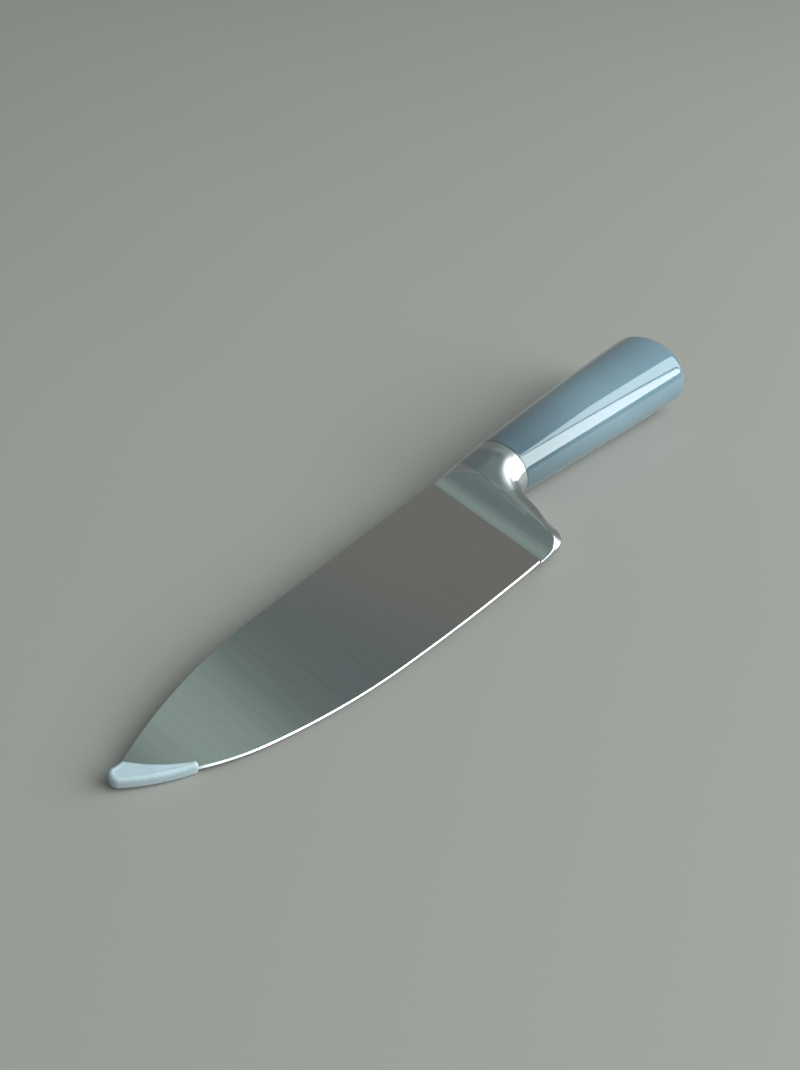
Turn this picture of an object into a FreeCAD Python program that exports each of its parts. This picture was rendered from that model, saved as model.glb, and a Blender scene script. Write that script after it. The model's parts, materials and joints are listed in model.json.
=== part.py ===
import FreeCAD, Part
import math
import os

import Sketcher

# A chef's knife lying on its side: a ground steel blade with a cast bolster welded on, a flat tang
# behind the bolster, a moulded core on the tang, a glossy outer shell over the core, and a soft
# guard pushed over the tip.
#
# Every piece is drawn in the knife's own axes: X from the bolster's front line towards the tip,
# Y from the spine towards the cutting edge, Z across the blade, with the blade's middle at Z = 0.
# lay_down() then gives each piece the one placement in which the knife rests on a flat surface,
# Z up: on the lower side of the grip and on the rear end of the tip guard, with the heel a little
# clear of the surface. The origin is under the middle of its box.

DIMENSIONS = {
    # Blade outline
    "blade_length": 154.0,
    "heel_height": 48.0,
    "front_lean": 2.0,
    "spine_straight": 88.0,
    "tip_drop": 12.7,
    "belly_start": 70.0,
    "belly_start_height": 43.8,
    "belly_start_radius": 1000.0,
    "belly_end": 118.0,
    "belly_end_height": 34.5,
    "belly_radius": 255.0,
    "tip_radius": 85.0,
    # Blade section
    "stock": 2.3,
    "grind_fall": 0.017,
    "distal_fall": 0.002,
    "tip_fall": 0.017,
    "tip_grind_start": 134.0,
    "bevel_angle": 23.0,
    "edge_land": 0.06,
    "tab_depth": 9.0,
    "tab_thickness": 1.5,
    "tab_top": 4.0,
    "tab_bottom": 20.0,
    # Bolster
    "collar_back": 25.7,
    "collar_height": 23.8,
    "collar_width": 21.8,
    "collar_centre": 11.4,
    "neck_back": 21.5,
    "neck_back_width": 19.8,
    "neck_middle": 16.0,
    "neck_middle_width": 14.4,
    "neck_middle_height": 24.6,
    "neck_waist": 12.5,
    "neck_waist_width": 10.0,
    "neck_waist_height": 25.0,
    "neck_centre": 11.6,
    "neck_front_width": 4.6,
    "neck_front_height": 24.0,
    "neck_front_centre": 12.0,
    "neck_run_on": 3.0,
    "leg_top_width": 8.6,
    "leg_top": 15.0,
    "leg_width": 9.2,
    "leg_widest": 24.0,
    "toe_width": 5.0,
    "toe_bottom": 48.5,
    "toe_front": 5.0,
    "toe_back": 13.4,
    "toe_corner": 42.0,
    "toe_corner_radius": 7.6,
    "throat_back": 19.4,
    "throat_top": 24.0,
    "throat_radius": 113.0,
    "leg_rounding": 1.2,
    "scallop_radius": 26.0,
    # Tang
    "tang_front": 12.0,
    "tang_back": 98.0,
    "tang_top": 8.0,
    "tang_bottom": 18.0,
    "tang_thickness": 3.0,
    "tang_end_radius": 2.5,
    "tang_hole": 5.0,
    "tang_first_hole": 42.0,
    "tang_hole_pitch": 20.0,
    # Handle
    "grip_middle": 76.0,
    "grip_middle_height": 30.2,
    "grip_middle_width": 25.2,
    "grip_middle_centre": 14.1,
    "butt": 127.1,
    "butt_height": 35.0,
    "butt_width": 28.0,
    "butt_centre": 17.5,
    "butt_dome_radius": 48.0,
    "butt_rounding": 5.0,
    "shell_wall": 2.5,
    "core_back": 118.0,
    "bond_gap": 0.1,
    # Tip guard
    "guard_width": 4.4,
    "guard_rounding": 1.2,
    "guard_back": 135.8,
    "guard_back_height": 24.1,
    "guard_back_low": 136.9,
    "guard_back_low_height": 27.6,
    "guard_back_radius": 2.2,
    "guard_mouth_radius": 53.0,
    "guard_top": 149.6,
    "guard_top_height": 10.1,
    "guard_nose": 153.6,
    "guard_nose_height": 10.9,
    "guard_nose_low": 155.2,
    "guard_nose_low_height": 14.2,
    "guard_nose_radius": 2.2,
    "guard_edge_radius": 87.0,
    "guard_slot": 2.0,
    "guard_clearance": 0.3,
    # How the knife lies
    "lying_roll": 8.7,
    "lying_pitch": 2.33,
}

SHEET = "dims"
TANG_HOLES = 3

# Allowances of the cutting tools and blanks: they leave no mark on the finished knife.
OVERCUT = 2.0
BLANK_ALLOWANCE = 1.0
BEVEL_RUN_OUT = 8.0
BEVEL_START_DROP = 0.1
BEVEL_TOOL_DEPTH = 4.0
BEVEL_TOOL_WIDTH = 3.0
DOME_REACH = 0.75
TOLERANCE = 0.01


class Size:
    """A length kept both as a number and as the text of an expression on the sheet."""

    def __init__(self, number, text):
        self.number = number
        self.text = text

    def __add__(self, other):
        other = as_size(other)
        return Size(self.number + other.number, f"({self.text} + {other.text})")

    def __sub__(self, other):
        other = as_size(other)
        return Size(self.number - other.number, f"({self.text} - {other.text})")

    def __mul__(self, other):
        other = as_size(other)
        return Size(self.number * other.number, f"({self.text} * {other.text})")

    def __truediv__(self, other):
        other = as_size(other)
        return Size(self.number / other.number, f"({self.text} / {other.text})")

    def __neg__(self):
        return Size(-self.number, f"(0 - {self.text})")


def as_size(value):
    """A plain number as a Size; a Size stays as it is."""
    if isinstance(value, Size):
        return value
    return Size(float(value), repr(float(value)))


def dim(alias):
    """The Size of one cell of the sheet."""
    return Size(DIMENSIONS[alias], f"{SHEET}.{alias}")


def add_sheet(doc):
    """The spreadsheet of driving dimensions: a name beside each aliased number."""
    sheet = doc.addObject("Spreadsheet::Sheet", SHEET)
    for row, (alias, value) in enumerate(DIMENSIONS.items(), start=1):
        sheet.set(f"A{row}", alias)
        sheet.set(f"B{row}", str(value))
        sheet.setAlias(f"B{row}", alias)
    doc.recompute()
    return sheet


def add_body(doc, label):
    body = doc.addObject("PartDesign::Body", f"{label}_body")
    body.Label = label
    return body


def origin_plane(body, role):
    return next(part for part in body.Origin.OriginFeatures if part.Role == role)


def add_sketch(body, name, role, offset=None, turn=None):
    """A sketch on one of the body's own origin planes, offset along and turned from it."""
    sketch = body.newObject("Sketcher::SketchObject", name)
    sketch.AttachmentSupport = [(origin_plane(body, role), "")]
    sketch.MapMode = "FlatFace"
    if turn is not None:
        sketch.AttachmentOffset = FreeCAD.Placement(FreeCAD.Vector(), turn)
    if offset is not None:
        offset = as_size(offset)
        sketch.AttachmentOffset.Base.z = offset.number
        sketch.setExpression("AttachmentOffset.Base.z", offset.text)
    return sketch


def constrain(sketch, kind, place, size):
    """One dimension of a sketch, bound to the sheet."""
    index = sketch.addConstraint(Sketcher.Constraint(kind, *place, size.number))
    sketch.setExpression(f"Constraints[{index}]", size.text)


def add_arc(sketch, start, end, radius, side):
    """The minor arc that bulges to the left (1) or right (-1) of the way from start to end.

    Returns its number and which of its ends lies at start and at end, because an arc in a sketch
    always runs anticlockwise.
    """
    chord = end - start
    half = chord.Length / 2
    left = FreeCAD.Vector(-chord.y, chord.x, 0).normalize()
    centre = (start + end) * 0.5 - left * side * math.sqrt(radius**2 - half**2)
    first, last = (start, end) if side < 0 else (end, start)
    from_angle = math.atan2(first.y - centre.y, first.x - centre.x)
    to_angle = math.atan2(last.y - centre.y, last.x - centre.x)
    if to_angle < from_angle:
        to_angle += 2 * math.pi
    circle = Part.Circle(centre, FreeCAD.Vector(0, 0, 1), radius)
    index = sketch.addGeometry(Part.ArcOfCircle(circle, from_angle, to_angle), False)
    return (index, 1, 2) if side < 0 else (index, 2, 1)


def add_chain(sketch, corners, arcs=None, closed=True):
    """A chain of lines and arcs. arcs maps the number of a span to (radius, side)."""
    arcs = arcs or {}
    points = [(as_size(x), as_size(y)) for x, y in corners]
    vectors = [FreeCAD.Vector(x.number, y.number, 0) for x, y in points]
    count = len(points) if closed else len(points) - 1
    spans = []
    for i in range(count):
        start = vectors[i]
        end = vectors[(i + 1) % len(points)]
        if i in arcs:
            radius, side = arcs[i]
            spans.append(add_arc(sketch, start, end, as_size(radius).number, side))
        else:
            index = sketch.addGeometry(Part.LineSegment(start, end), False)
            spans.append((index, 1, 2))
    joints = range(count) if closed else range(1, count)
    for i in joints:
        before = spans[i - 1]
        here = spans[i]
        ends = (before[0], before[2], here[0], here[1])
        sketch.addConstraint(Sketcher.Constraint("Coincident", *ends))
    for i, (x, y) in enumerate(points):
        if i < count:
            place = (spans[i][0], spans[i][1])
        else:
            place = (spans[-1][0], spans[-1][2])
        constrain(sketch, "DistanceX", (-1, 1, *place), x)
        constrain(sketch, "DistanceY", (-1, 1, *place), y)
    for i, (radius, side) in arcs.items():
        constrain(sketch, "Radius", (spans[i][0],), as_size(radius))
    return sketch


def add_rectangle(sketch, low, high):
    corners = [low, (high[0], low[1]), high, (low[0], high[1])]
    return add_chain(sketch, corners)


def add_circle(sketch, centre, radius):
    x, y, radius = (as_size(value) for value in (*centre, radius))
    circle = Part.Circle(FreeCAD.Vector(x.number, y.number, 0), FreeCAD.Vector(0, 0, 1), radius.number)
    index = sketch.addGeometry(circle, False)
    constrain(sketch, "DistanceX", (-1, 1, index, 3), x)
    constrain(sketch, "DistanceY", (-1, 1, index, 3), y)
    constrain(sketch, "Radius", (index,), radius)
    return sketch


def add_ellipse(body, name, station, centre, height, width):
    """An oval section across the knife at X = station: height along Y, width along Z."""
    sketch = add_sketch(body, name, "YZ_Plane", offset=station)
    tall = as_size(height / 2)
    wide = as_size(width / 2)
    middle = FreeCAD.Vector(centre.number, 0, 0)
    major = middle + FreeCAD.Vector(tall.number, 0, 0)
    minor = middle + FreeCAD.Vector(0, wide.number, 0)
    index = sketch.addGeometry(Part.Ellipse(major, minor, middle), False)
    sketch.exposeInternalGeometry(index)
    major_line = index + 1
    minor_line = index + 2
    sketch.addConstraint(Sketcher.Constraint("Horizontal", major_line))
    sketch.addConstraint(Sketcher.Constraint("PointOnObject", index, 3, -1))
    constrain(sketch, "DistanceX", (-1, 1, index, 3), centre)
    constrain(sketch, "Distance", (major_line,), as_size(height))
    constrain(sketch, "Distance", (minor_line,), as_size(width))
    return sketch


def add_pad(body, name, sketch, length):
    """A pad that reaches equally to both sides of its sketch."""
    pad = body.newObject("PartDesign::Pad", name)
    pad.Profile = sketch
    pad.SideType = "Symmetric"
    pad.setExpression("Length", as_size(length).text)
    return pad


def add_pocket(body, name, sketch, length, both_sides=True, forwards=False):
    """A pocket through both sides of its sketch, or on the side that its sketch faces."""
    pocket = body.newObject("PartDesign::Pocket", name)
    pocket.Profile = sketch
    pocket.SideType = "Symmetric" if both_sides else "One side"
    pocket.Reversed = forwards
    pocket.setExpression("Length", as_size(length).text)
    return pocket


def add_loft(body, name, sections, subtractive=False):
    kind = "PartDesign::SubtractiveLoft" if subtractive else "PartDesign::AdditiveLoft"
    loft = body.newObject(kind, name)
    loft.Profile = sections[0]
    loft.Sections = [(section, [""]) for section in sections[1:]]
    return loft


def add_mirror(body, name, originals):
    """The same cuts again on the other side of the blade's middle plane."""
    mirror = body.newObject("PartDesign::Mirrored", name)
    mirror.Originals = originals
    mirror.MirrorPlane = (origin_plane(body, "XY_Plane"), [""])
    body.Tip = mirror
    return mirror


def add_fillet(body, name, base, edges, radius):
    fillet = body.newObject("PartDesign::Fillet", name)
    fillet.Base = (base, edges)
    fillet.setExpression("Radius", as_size(radius).text)
    body.Tip = fillet
    return fillet


def edges_where(feature, test):
    """The names of a feature's edges whose middle point passes the test."""
    names = []
    for number, edge in enumerate(feature.Shape.Edges, start=1):
        middle = edge.valueAt((edge.FirstParameter + edge.LastParameter) / 2)
        if test(middle):
            names.append(f"Edge{number}")
    return names


# ---------------------------------------------------------------- blade


def edge_corners():
    """The cutting edge from the heel to the tip."""
    return [
        (dim("front_lean"), dim("heel_height")),
        (dim("belly_start"), dim("belly_start_height")),
        (dim("belly_end"), dim("belly_end_height")),
        (dim("blade_length"), dim("tip_drop")),
    ]


def edge_arcs(first):
    """The three arcs of the cutting edge, from span number first on."""
    radii = ["belly_start_radius", "belly_radius", "tip_radius"]
    return {first + i: (dim(radius), 1) for i, radius in enumerate(radii)}


def spine_radius():
    """The arc that leaves the straight spine smoothly and ends at the tip."""
    run = dim("blade_length") - dim("spine_straight")
    drop = dim("tip_drop")
    return (run * run + drop * drop) / (drop * 2)


def add_grind(body, name, start, fall):
    """One flat of the side: it falls towards the edge by grind_fall and towards the tip by fall."""
    turn = FreeCAD.Rotation(FreeCAD.Vector(1, 0, 0), math.degrees(math.atan(fall.number)))
    sketch = add_sketch(body, f"{name}_section", "YZ_Plane", offset=start, turn=turn)
    at_spine = dim("stock") / 2 - dim("distal_fall") * start
    above = dim("stock")
    past_spine = as_size(-OVERCUT)
    past_edge = dim("heel_height") + OVERCUT
    corners = [
        (past_spine, at_spine - dim("grind_fall") * past_spine),
        (past_edge, at_spine - dim("grind_fall") * past_edge),
        (past_edge, above),
        (past_spine, above),
    ]
    add_chain(sketch, corners)
    length = dim("blade_length") + OVERCUT
    return add_pocket(body, name, sketch, length, both_sides=False, forwards=True)


def add_bevel(body):
    """The cutting bevel: a wedge swept along the edge, from before the heel to past the tip."""
    heel_x, heel_y = edge_corners()[0]
    tip_x, tip_y = edge_corners()[-1]
    run_out = BEVEL_RUN_OUT * math.sqrt(0.5)
    edge_y = heel_y + BEVEL_START_DROP
    before = (heel_x - BEVEL_RUN_OUT, edge_y)
    after = (tip_x + run_out, tip_y - run_out)
    path = add_sketch(body, "edge_path", "XY_Plane")
    add_chain(path, [before, *edge_corners(), after], edge_arcs(1), closed=False)
    section = add_sketch(body, "bevel_section", "YZ_Plane", offset=heel_x - BEVEL_RUN_OUT)
    land = dim("edge_land") / 2
    rise = math.tan(math.radians(DIMENSIONS["bevel_angle"])) * BEVEL_TOOL_DEPTH
    above = edge_y - BEVEL_TOOL_DEPTH
    below = edge_y + OVERCUT
    outside = land + BEVEL_TOOL_WIDTH
    corners = [
        (below, land),
        (edge_y, land),
        (above, land + rise),
        (above, outside),
        (below, outside),
    ]
    add_chain(section, corners)
    bevel = body.newObject("PartDesign::SubtractivePipe", "bevel")
    bevel.Profile = section
    bevel.Spine = path
    bevel.Transition = "Right corner"
    return bevel


def make_blade(doc):
    """The blade: a stamped outline, ground flat on both sides and bevelled along the edge."""
    body = add_body(doc, "blade")
    outline = add_sketch(body, "blade_outline", "XY_Plane")
    corners = [
        (0.0, 0.0),
        *edge_corners(),
        (dim("spine_straight"), 0.0),
    ]
    arcs = edge_arcs(1)
    arcs[4] = (spine_radius(), 1)
    add_chain(outline, corners, arcs)
    add_pad(body, "blade_stock", outline, dim("stock"))
    flat = add_grind(body, "side_grind", as_size(0), dim("distal_fall"))
    tip = add_grind(body, "tip_grind", dim("tip_grind_start"), dim("tip_fall"))
    bevel = add_bevel(body)
    doc.recompute()
    add_mirror(body, "second_side", [flat, tip, bevel])
    tab_outline = add_sketch(body, "tab_outline", "XY_Plane")
    low = (-dim("tab_depth"), dim("tab_top"))
    high = (dim("front_lean") + OVERCUT, dim("tab_bottom"))
    add_rectangle(tab_outline, low, high)
    add_pad(body, "weld_tab", tab_outline, dim("tab_thickness"))
    return body


# ---------------------------------------------------------------- bolster


def add_leg(doc, body):
    """The part of the bolster from the spine down to the rounded heel."""
    outline = add_sketch(body, "leg_outline", "XY_Plane")
    corners = [
        (0.0, 0.0),
        (-dim("throat_back"), 0.0),
        (-dim("throat_back"), dim("throat_top")),
        (-dim("toe_back"), dim("toe_corner")),
        (-dim("toe_front"), dim("toe_bottom")),
        (dim("front_lean"), dim("heel_height")),
    ]
    arcs = {2: (dim("throat_radius"), -1), 3: (dim("toe_corner_radius"), 1)}
    add_chain(outline, corners, arcs)
    add_pad(body, "leg_stock", outline, dim("leg_width") + OVERCUT)
    taper = add_sketch(body, "leg_taper", "YZ_Plane", offset=dim("front_lean") + OVERCUT)
    above = dim("leg_width") / 2 + OVERCUT
    past_spine = as_size(-OVERCUT)
    below = dim("toe_bottom") + OVERCUT
    corners = [
        (past_spine, dim("stock") / 2),
        (as_size(0), dim("stock") / 2),
        (dim("leg_top"), dim("leg_top_width") / 2),
        (dim("leg_widest"), dim("leg_width") / 2),
        (below, dim("toe_width") / 2),
        (below, above),
        (past_spine, above),
    ]
    add_chain(taper, corners)
    length = dim("front_lean") + dim("throat_back") + OVERCUT * 2
    cut = add_pocket(body, "leg_side", taper, length, both_sides=False)
    doc.recompute()
    add_mirror(body, "leg_other_side", [cut])
    doc.recompute()
    low = DIMENSIONS["throat_top"]
    rim = DIMENSIONS["toe_front"]
    side = DIMENSIONS["stock"] / 2
    back_edges = edges_where(
        body.Tip,
        lambda at: at.y > low and at.x < -rim and abs(at.z) > side,
    )
    add_fillet(body, "leg_rounding", body.Tip, back_edges, dim("leg_rounding"))


def add_neck(body):
    """The oval neck that grows from the blade's thickness to the collar."""
    sections = [
        add_ellipse(
            body, "collar_section", -dim("collar_back"), dim("collar_centre"),
            dim("collar_height"), dim("collar_width"),
        ),
        add_ellipse(
            body, "neck_back_section", -dim("neck_back"), dim("collar_centre"),
            dim("collar_height"), dim("neck_back_width"),
        ),
        add_ellipse(
            body, "neck_middle_section", -dim("neck_middle"), dim("neck_centre"),
            dim("neck_middle_height"), dim("neck_middle_width"),
        ),
        add_ellipse(
            body, "neck_waist_section", -dim("neck_waist"), dim("neck_centre"),
            dim("neck_waist_height"), dim("neck_waist_width"),
        ),
        add_ellipse(
            body, "neck_front_section", dim("neck_run_on"), dim("neck_front_centre"),
            dim("neck_front_height"), dim("neck_front_width"),
        ),
    ]
    add_loft(body, "neck", sections)


def add_front_trim(body):
    """Squares the bolster off at its front line, where the blade is welded on."""
    sketch = add_sketch(body, "front_line", "XY_Plane")
    slope = dim("front_lean") / dim("heel_height")
    top = as_size(-OVERCUT)
    bottom = dim("toe_bottom") + OVERCUT
    ahead = dim("neck_run_on") + OVERCUT
    corners = [
        (slope * top, top),
        (slope * bottom, bottom),
        (ahead, bottom),
        (ahead, top),
    ]
    add_chain(sketch, corners)
    add_pocket(body, "front_trim", sketch, dim("collar_width"))


def add_scallop(doc, body):
    """The hollow ground into each side, a cylinder that touches the blade's side at the front line."""
    lean = math.degrees(math.atan2(DIMENSIONS["front_lean"], DIMENSIONS["heel_height"]))
    fall = math.degrees(math.atan(DIMENSIONS["grind_fall"]))
    turn = FreeCAD.Rotation(FreeCAD.Vector(0, 1, 0), -lean)
    turn = turn.multiply(FreeCAD.Rotation(FreeCAD.Vector(1, 0, 0), -fall))
    sketch = add_sketch(body, "scallop_section", "XZ_Plane", turn=turn)
    radius = dim("scallop_radius")
    add_circle(sketch, (as_size(0), radius + dim("stock") / 2), radius)
    both_ways = dim("toe_bottom") * 2 + OVERCUT * 2
    cut = add_pocket(body, "scallop", sketch, both_ways)
    doc.recompute()
    add_mirror(body, "other_scallop", [cut])


def make_bolster(doc, blade, tang):
    """The cast bolster: collar, neck and heel in one, with sockets for the blade's tab and the tang."""
    body = add_body(doc, "bolster_casting")
    add_leg(doc, body)
    add_neck(body)
    add_front_trim(body)
    doc.recompute()
    add_scallop(doc, body)
    inserts = doc.addObject("Part::MultiFuse", "bolster_inserts")
    inserts.Shapes = [blade, tang]
    bolster = doc.addObject("Part::Cut", "bolster_cut")
    bolster.Base = body
    bolster.Tool = inserts
    bolster.Label = "bolster"
    return body, bolster


# ---------------------------------------------------------------- tang and handle


def make_tang(doc):
    """The flat tang, welded into the bolster, with holes that lock it in the core."""
    body = add_body(doc, "tang")
    outline = add_sketch(body, "tang_outline", "XY_Plane")
    front = -dim("tang_front")
    back = -dim("tang_back")
    top = dim("tang_top")
    bottom = dim("tang_bottom")
    corner = dim("tang_end_radius")
    corners = [
        (front, top),
        (front, bottom),
        (back + corner, bottom),
        (back, bottom - corner),
        (back, top + corner),
        (back + corner, top),
    ]
    add_chain(outline, corners, {2: (corner, 1), 4: (corner, 1)})
    add_pad(body, "tang_bar", outline, dim("tang_thickness"))
    hole = add_sketch(body, "tang_hole_outline", "XY_Plane")
    centre = (-dim("tang_first_hole"), (top + bottom) / 2)
    add_circle(hole, centre, dim("tang_hole") / 2)
    cut = add_pocket(body, "tang_hole", hole, dim("tang_thickness") + OVERCUT)
    doc.recompute()
    row = body.newObject("PartDesign::LinearPattern", "tang_holes")
    row.Originals = [cut]
    row.Direction = (hole, ["H_Axis"])
    row.Reversed = True
    row.Occurrences = TANG_HOLES
    row.setExpression("Length", (dim("tang_hole_pitch") * (TANG_HOLES - 1)).text)
    body.Tip = row
    return body


def grip_sections(body, name, inset, back):
    """Oval sections of the grip, inset all round, from the collar to X = -back."""
    stations = [
        ("front", dim("collar_back"), "collar"),
        ("middle", dim("grip_middle"), "grip_middle"),
        ("back", back, "butt"),
    ]
    return [
        add_ellipse(
            body, f"{name}_{place}", -station, dim(f"{size}_centre"),
            dim(f"{size}_height") - inset * 2, dim(f"{size}_width") - inset * 2,
        )
        for place, station, size in stations
    ]


def add_butt_dome(doc, body):
    """Rounds the end of the grip: a shallow dome, then a soft corner all round it."""
    sketch = add_sketch(body, "butt_dome_outline", "XY_Plane")
    centre = dim("butt_centre")
    reach = dim("butt_height") * DOME_REACH
    radius = dim("butt_dome_radius")
    number = math.sqrt(radius.number**2 - reach.number**2)
    text = f"sqrt({radius.text} ^ 2 - {reach.text} ^ 2)"
    rise = radius - Size(number, text)
    end = -dim("butt")
    past_end = end - OVERCUT
    corners = [
        (end, centre),
        (end + rise, centre + reach),
        (past_end, centre + reach),
        (past_end, centre),
    ]
    add_chain(sketch, corners, {0: (radius, 1)})
    groove = body.newObject("PartDesign::Groove", "butt_dome")
    groove.Profile = sketch
    axis = add_sketch(body, "butt_axis", "XY_Plane")
    add_chain(axis, [(end, centre), (as_size(0), centre)], closed=False)
    groove.ReferenceAxis = (axis, ["Edge1"])
    groove.Angle = 360
    doc.recompute()
    dome_front = (end + rise).number
    rim = edges_where(groove, lambda at: at.x < dome_front)
    add_fillet(body, "butt_corner", groove, rim, dim("butt_rounding"))


def make_handle_shell(doc):
    """The outer shell of the grip: a glossy oval moulding, open at the collar, closed at the butt."""
    body = add_body(doc, "handle_shell")
    outside = grip_sections(body, "grip", as_size(0), dim("butt") + BLANK_ALLOWANCE)
    add_loft(body, "grip", outside)
    doc.recompute()
    add_butt_dome(doc, body)
    back = dim("core_back") + dim("bond_gap")
    inside = grip_sections(body, "cavity", dim("shell_wall"), back)
    add_loft(body, "cavity", inside, subtractive=True)
    return body


def make_handle_core(doc, tang):
    """The core moulded round the tang: it fills the shell but for a bond line."""
    body = add_body(doc, "core_blank")
    inset = dim("shell_wall") + dim("bond_gap")
    add_loft(body, "core_solid", grip_sections(body, "core", inset, dim("core_back")))
    core = doc.addObject("Part::Cut", "handle_core_cut")
    core.Base = body
    core.Tool = tang
    core.Label = "handle_core"
    return body, core


# ---------------------------------------------------------------- tip guard


def make_tip_guard(doc):
    """The soft sleeve over the tip: a rounded pouch with a slot that the blade sits in."""
    body = add_body(doc, "tip_guard")
    outline = add_sketch(body, "guard_outline", "XY_Plane")
    corners = [
        (dim("guard_top"), dim("guard_top_height")),
        (dim("guard_back"), dim("guard_back_height")),
        (dim("guard_back_low"), dim("guard_back_low_height")),
        (dim("guard_nose_low"), dim("guard_nose_low_height")),
        (dim("guard_nose"), dim("guard_nose_height")),
    ]
    arcs = {
        0: (dim("guard_mouth_radius"), -1),
        1: (dim("guard_back_radius"), 1),
        2: (dim("guard_edge_radius"), 1),
        3: (dim("guard_nose_radius"), 1),
    }
    add_chain(outline, corners, arcs)
    pad = add_pad(body, "guard_block", outline, dim("guard_width"))
    doc.recompute()
    half = DIMENSIONS["guard_width"] / 2
    flats = edges_where(pad, lambda at: abs(abs(at.z) - half) < TOLERANCE)
    add_fillet(body, "guard_rounding", pad, flats, dim("guard_rounding"))
    gap = dim("guard_clearance")
    slot = add_sketch(body, "guard_slot_outline", "XY_Plane")
    corners = [
        (dim("belly_end"), dim("belly_end_height") + gap),
        (dim("blade_length") + gap, dim("tip_drop") + gap),
        (dim("blade_length") + gap, dim("tip_drop") - gap),
        (dim("spine_straight"), -gap),
        (dim("spine_straight"), dim("belly_end_height")),
    ]
    arcs = {0: (dim("tip_radius") + gap, 1), 2: (spine_radius() + gap, 1)}
    add_chain(slot, corners, arcs)
    add_pocket(body, "guard_slot", slot, dim("guard_slot"))
    return body


# ---------------------------------------------------------------- the whole knife


def lay_down(doc, bodies, nodes):
    """Gives every body the placement in which the knife lies on its side on a flat surface."""
    roll = FreeCAD.Rotation(FreeCAD.Vector(1, 0, 0), -DIMENSIONS["lying_roll"])
    pitch = FreeCAD.Rotation(FreeCAD.Vector(0, 1, 0), DIMENSIONS["lying_pitch"])
    turn = pitch.multiply(roll)
    for body in bodies:
        body.Placement = FreeCAD.Placement(FreeCAD.Vector(), turn)
    doc.recompute()
    box = Part.makeCompound([node.Shape for node in nodes]).optimalBoundingBox(False, False)
    shift = FreeCAD.Vector(-box.Center.x, -box.Center.y, -box.ZMin)
    for body in bodies:
        body.Placement = FreeCAD.Placement(shift, turn)
    doc.recompute()
    return turn, shift


def check(doc, nodes):
    """Stops the build if an object failed or a sub-part has no good shape."""
    for item in doc.Objects:
        if "Invalid" in item.State or "Error" in item.State:
            raise RuntimeError(f"{item.Label} failed to build: {item.State}")
    for node in nodes:
        if node.Shape.isNull() or not node.Shape.isValid():
            raise RuntimeError(f"{node.Label} has no valid shape")


def main():
    doc = FreeCAD.newDocument("chef_knife")
    add_sheet(doc)
    blade = make_blade(doc)
    tang = make_tang(doc)
    casting, bolster = make_bolster(doc, blade, tang)
    shell = make_handle_shell(doc)
    core_blank, core = make_handle_core(doc, tang)
    guard = make_tip_guard(doc)
    doc.recompute()
    nodes = [blade, bolster, tang, core, shell, guard]
    bodies = [blade, casting, tang, core_blank, shell, guard]
    check(doc, nodes)
    turn, shift = lay_down(doc, bodies, nodes)
    check(doc, nodes)
    os.makedirs("parts", exist_ok=True)
    for node in nodes:
        node.Shape.exportStep(f"parts/{node.Label}.step")
        print(f"{node.Label}: {node.Shape.Volume:.0f} mm3, {len(node.Shape.Solids)} solid")
    print("knife X axis in the frame:", turn.multVec(FreeCAD.Vector(1, 0, 0)))
    print("shift:", shift)


main()
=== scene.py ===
import json
import math

import bpy
import numpy as np
from mathutils import Matrix, Vector


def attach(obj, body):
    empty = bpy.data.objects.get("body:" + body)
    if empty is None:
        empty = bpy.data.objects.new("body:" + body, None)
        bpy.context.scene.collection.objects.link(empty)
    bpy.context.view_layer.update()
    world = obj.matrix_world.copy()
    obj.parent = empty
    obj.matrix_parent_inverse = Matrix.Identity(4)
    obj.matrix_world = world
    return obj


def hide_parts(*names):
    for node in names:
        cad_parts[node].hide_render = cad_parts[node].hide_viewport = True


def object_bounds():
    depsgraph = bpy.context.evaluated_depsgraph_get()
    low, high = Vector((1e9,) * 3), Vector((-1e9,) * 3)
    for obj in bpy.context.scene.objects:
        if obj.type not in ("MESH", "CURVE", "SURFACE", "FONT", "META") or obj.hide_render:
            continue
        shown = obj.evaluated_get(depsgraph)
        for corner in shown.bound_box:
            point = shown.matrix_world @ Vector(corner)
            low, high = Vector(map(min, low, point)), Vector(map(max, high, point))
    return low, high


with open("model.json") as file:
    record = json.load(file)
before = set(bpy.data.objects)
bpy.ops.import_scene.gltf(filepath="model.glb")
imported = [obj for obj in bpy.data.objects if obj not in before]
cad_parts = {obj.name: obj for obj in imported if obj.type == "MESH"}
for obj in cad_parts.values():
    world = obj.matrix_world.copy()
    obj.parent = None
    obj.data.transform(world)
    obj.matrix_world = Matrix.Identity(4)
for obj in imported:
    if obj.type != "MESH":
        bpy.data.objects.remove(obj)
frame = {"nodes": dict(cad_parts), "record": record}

# A chef's knife lying on its side, with a soft guard on its tip.
#
# Shapes are worked out in the knife's own axes, in millimetres: X from the bolster's front line
# towards the tip, Y from the spine towards the cutting edge, Z across the blade. knife_matrix()
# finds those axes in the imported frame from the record's mounts. Meshes are stored in the frame's
# own axes, and materials turn their coordinates back into the knife's.

MM = 0.001

CAD_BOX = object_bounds()

# Blade: its outline, and a section that thins towards the edge, along the blade and at the tip
BLADE_LENGTH = 154.0
HEEL_HEIGHT = 48.0
FRONT_LEAN = 2.0
SPINE_STRAIGHT = 88.0
TIP_DROP = 12.7
EDGE_CORNERS = [(FRONT_LEAN, HEEL_HEIGHT), (70.0, 43.8), (118.0, 34.5), (BLADE_LENGTH, TIP_DROP)]
EDGE_RADII = [1000.0, 255.0, 85.0]
STOCK = 2.3
GRIND_FALL = 0.017
DISTAL_FALL = 0.002
TIP_FALL = 0.017
TIP_GRIND_START = 134.0
BEVEL_ANGLE = math.radians(34.0)
EDGE_LAND = 0.06
SPINE_EASE = 0.18

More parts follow.
